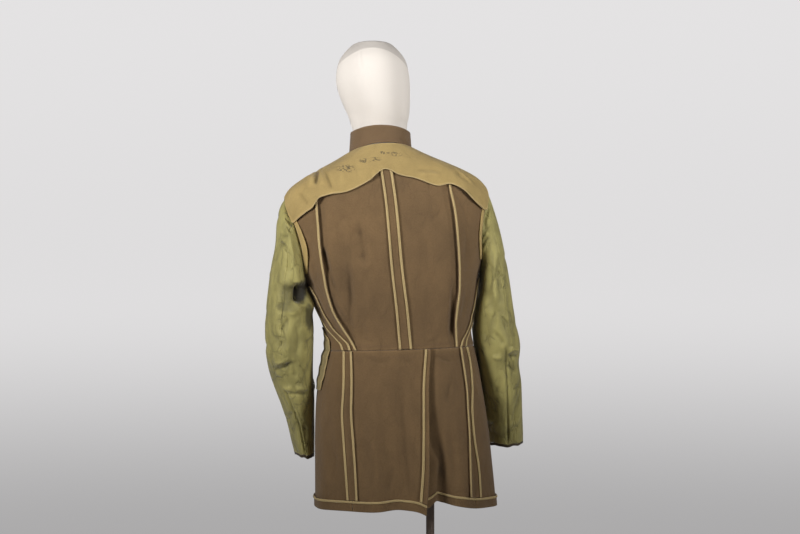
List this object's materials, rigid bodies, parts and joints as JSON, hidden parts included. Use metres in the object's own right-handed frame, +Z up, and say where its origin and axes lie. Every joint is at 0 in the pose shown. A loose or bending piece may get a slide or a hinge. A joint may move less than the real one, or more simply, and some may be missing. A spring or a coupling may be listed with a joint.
{
  "type": "military service jacket on a dress form",
  "caption": "Military service jacket turned inside out, with stand collar, shoulder yoke, bound seams, back vent and lined sleeves, shown on a limbless dress form with a pole and round base.",
  "frame": {"origin": "centre of the round base's underside, on the pole's axis", "axes": "+Z up; the garment's back faces -Y, its front +Y, and its sleeves lie at -X and +X"},
  "size_m": [0.571, 0.35, 1.6955],
  "materials": {
    "wool": "matt brown wool, wrong side out",
    "collar_wool": "matt brown wool",
    "yoke_cotton": "khaki cotton",
    "binding_tape": "pale khaki cotton tape",
    "sleeve_lining": "crumpled olive lining with a slight sheen",
    "cuff_wool": "dark brown wool",
    "form_cover": "cream jersey cover",
    "stand_metal": "dark bronze paint"
  },
  "bodies": {
    "root": {"armhole_strip_left": "yoke_cotton", "armhole_strip_right": "yoke_cotton", "centre_back_allowance": "wool", "centre_back_tape_1": "binding_tape", "centre_back_tape_2": "binding_tape", "cuff_edge_left": "cuff_wool", "cuff_edge_right": "cuff_wool", "dress_form": "form_cover", "hem_back_left": "wool", "hem_back_right": "wool", "hem_front_left": "wool", "hem_front_right": "wool", "hem_tape_back_left": "binding_tape", "hem_tape_back_right": "binding_tape", "hem_tape_front_left": "binding_tape", "hem_tape_front_right": "binding_tape", "pleat_tape_left": "binding_tape", "pleat_tape_right": "binding_tape", "pocket_bag_left": "yoke_cotton", "shoulder_yoke": "yoke_cotton", "side_back_left": "wool", "side_back_right": "wool", "side_skirt_left_allowance": "wool", "side_skirt_left_tape_1": "binding_tape", "side_skirt_left_tape_2": "binding_tape", "side_skirt_right_allowance": "wool", "side_skirt_right_tape_1": "binding_tape", "side_skirt_right_tape_2": "binding_tape", "side_upper_left_allowance": "wool", "side_upper_left_tape_1": "binding_tape", "side_upper_left_tape_2": "binding_tape", "side_upper_right_allowance": "wool", "side_upper_right_tape_1": "binding_tape", "side_upper_right_tape_2": "binding_tape", "skirt_back_left": "wool", "skirt_back_right": "wool", "skirt_front_left": "wool", "skirt_front_right": "wool", "stand_base": "stand_metal", "stand_collar": "collar_wool", "stand_flange": "stand_metal", "stand_pole": "stand_metal", "top_sleeve_left": "sleeve_lining", "top_sleeve_right": "sleeve_lining", "under_sleeve_left": "sleeve_lining", "under_sleeve_right": "sleeve_lining", "upper_back_left": "wool", "upper_back_right": "wool", "upper_front_left": "wool", "upper_front_right": "wool", "vent_tape": "binding_tape", "vent_turn_back": "wool"}
  },
  "joints": []
}
